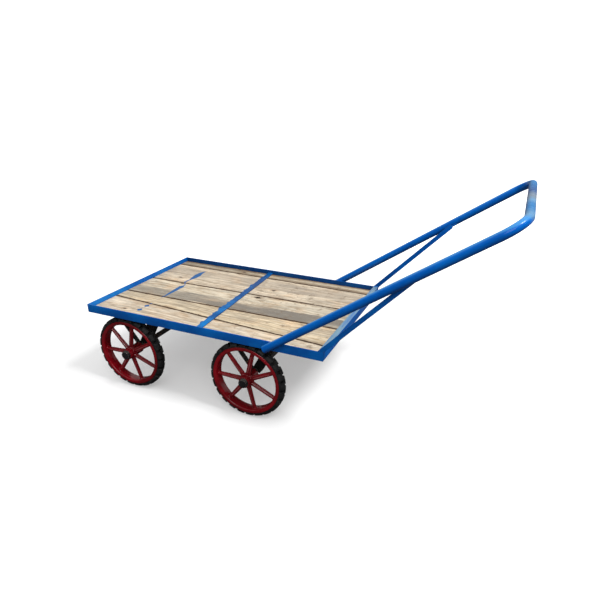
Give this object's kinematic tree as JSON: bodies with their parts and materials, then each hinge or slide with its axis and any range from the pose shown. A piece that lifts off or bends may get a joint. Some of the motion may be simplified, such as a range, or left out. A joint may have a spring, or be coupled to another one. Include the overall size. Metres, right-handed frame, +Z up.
{
  "type": "platform hand cart",
  "caption": "Platform hand cart: welded steel angle frame with a plank deck, a braced bent-tube push handle, and spoked cast wheels with lugged rubber tyres on fixed axles.",
  "frame": {"origin": "on the floor, under the middle of the whole cart's box", "axes": "+X towards the handle end along the deck, +Y to the right of a person pushing at the handle, +Z up"},
  "size_m": [1.8768, 0.8678, 1.0228],
  "materials": {
    "frame_blue": "gloss blue brush-on enamel, chipped at edges",
    "underframe_paint": "dull dark paint over mill scale, rusty at the welds",
    "axle_steel": "dark bare bar with dirt and grease",
    "wheel_red": "deep red enamel on a casting",
    "tyre_rubber": "matt black rubber",
    "cap_black": "black enamel, slightly greasy",
    "bright_steel": "plain machined steel",
    "board_wood": "reclaimed sawn boards, dry and weathered"
  },
  "bodies": {
    "frame": {"axle_nuts": "bright_steel", "axle_washers": "bright_steel", "bearing_sleeves": "bright_steel", "front_axle": "axle_steel", "front_left_hanger_leg": "underframe_paint", "front_left_stay": "underframe_paint", "front_leg_cross_member": "underframe_paint", "front_rail": "frame_blue", "front_right_hanger_leg": "underframe_paint", "front_right_stay": "underframe_paint", "front_stay_cross_member": "underframe_paint", "handle": "frame_blue", "hold_down_strip": "frame_blue", "left_edge_board": "board_wood", "left_handle_brace": "frame_blue", "left_inner_board": "board_wood", "left_side_rail": "frame_blue", "middle_board": "board_wood", "rear_axle": "axle_steel", "rear_channel": "frame_blue", "rear_left_hanger_leg": "underframe_paint", "rear_left_stay": "underframe_paint", "rear_leg_cross_member": "underframe_paint", "rear_right_hanger_leg": "underframe_paint", "rear_right_stay": "underframe_paint", "rear_stay_cross_member": "underframe_paint", "right_edge_board": "board_wood", "right_handle_brace": "frame_blue", "right_side_rail": "frame_blue", "right_wide_board": "board_wood", "split_pins": "bright_steel"},
    "front_left_wheel": {"front_left_wheel_casting": "wheel_red", "front_left_tyre": "tyre_rubber", "front_left_outer_bearing": "bright_steel", "front_left_inner_bearing": "bright_steel", "front_left_grease_cap": "cap_black"},
    "front_right_wheel": {"front_right_wheel_casting": "wheel_red", "front_right_tyre": "tyre_rubber", "front_right_outer_bearing": "bright_steel", "front_right_inner_bearing": "bright_steel", "front_right_grease_cap": "cap_black"},
    "rear_left_wheel": {"rear_left_wheel_casting": "wheel_red", "rear_left_tyre": "tyre_rubber", "rear_left_outer_bearing": "bright_steel", "rear_left_inner_bearing": "bright_steel", "rear_left_grease_cap": "cap_black"},
    "rear_right_wheel": {"rear_right_wheel_casting": "wheel_red", "rear_right_tyre": "tyre_rubber", "rear_right_outer_bearing": "bright_steel", "rear_right_inner_bearing": "bright_steel", "rear_right_grease_cap": "cap_black"}
  },
  "joints": [
    {"name": "front_left_wheel_spin", "type": "hinge", "parent": "frame", "child": "front_left_wheel", "pos_m": [-0.73825, -0.368, 0.183], "axis": [0, 1, 0], "continuous": true},
    {"name": "front_right_wheel_spin", "type": "hinge", "parent": "frame", "child": "front_right_wheel", "pos_m": [-0.73825, 0.368, 0.183], "axis": [0, 1, 0], "continuous": true},
    {"name": "rear_left_wheel_spin", "type": "hinge", "parent": "frame", "child": "rear_left_wheel", "pos_m": [-0.10443, -0.368, 0.183], "axis": [0, 1, 0], "continuous": true},
    {"name": "rear_right_wheel_spin", "type": "hinge", "parent": "frame", "child": "rear_right_wheel", "pos_m": [-0.10443, 0.368, 0.183], "axis": [0, 1, 0], "continuous": true}
  ]
}
